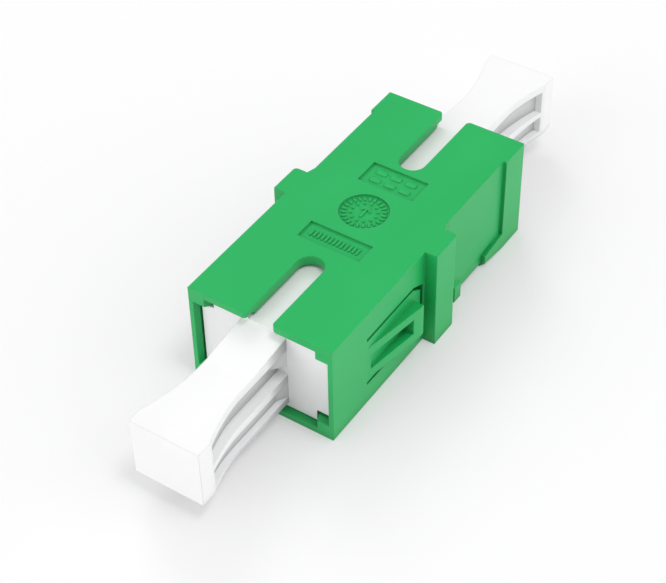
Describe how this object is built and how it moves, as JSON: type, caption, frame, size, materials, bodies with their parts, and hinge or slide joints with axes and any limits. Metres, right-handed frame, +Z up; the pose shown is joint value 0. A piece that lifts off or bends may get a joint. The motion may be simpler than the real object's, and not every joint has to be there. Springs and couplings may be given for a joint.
{
  "type": "sc fibre adapter",
  "caption": "Simplex optical fibre adapter for push-pull plugs, with a flanged snap-in body, side panel latches and a finger-grip dust cap in each mouth.",
  "frame": {"origin": "centre of the body, midway between the two mouths and at half its width and height", "axes": "+X across the width, +Y along the optical axis from the latch half to the recessed half, +Z up through the key slots"},
  "size_m": [0.015, 0.051, 0.0094],
  "materials": {
    "housing_plastic": "satin moulded green plastic",
    "insert_plastic": "natural off-white moulded plastic",
    "sleeve_ceramic": "polished white zirconia ceramic",
    "cap_plastic": "soft white moulded plastic"
  },
  "bodies": {
    "adapter": {"outer_housing": "housing_plastic", "latch_insert_near": "insert_plastic", "latch_insert_far": "insert_plastic", "alignment_sleeve": "sleeve_ceramic"},
    "near_cap": {"dust_cap_near": "cap_plastic"},
    "far_cap": {"dust_cap_far": "cap_plastic"}
  },
  "joints": [
    {"name": "near_cap_pull", "type": "slide", "parent": "adapter", "child": "near_cap", "axis": [0, -1, 0], "range_m": [0, 0.0135]},
    {"name": "far_cap_pull", "type": "slide", "parent": "adapter", "child": "far_cap", "axis": [0, 1, 0], "range_m": [0, 0.0135]}
  ]
}
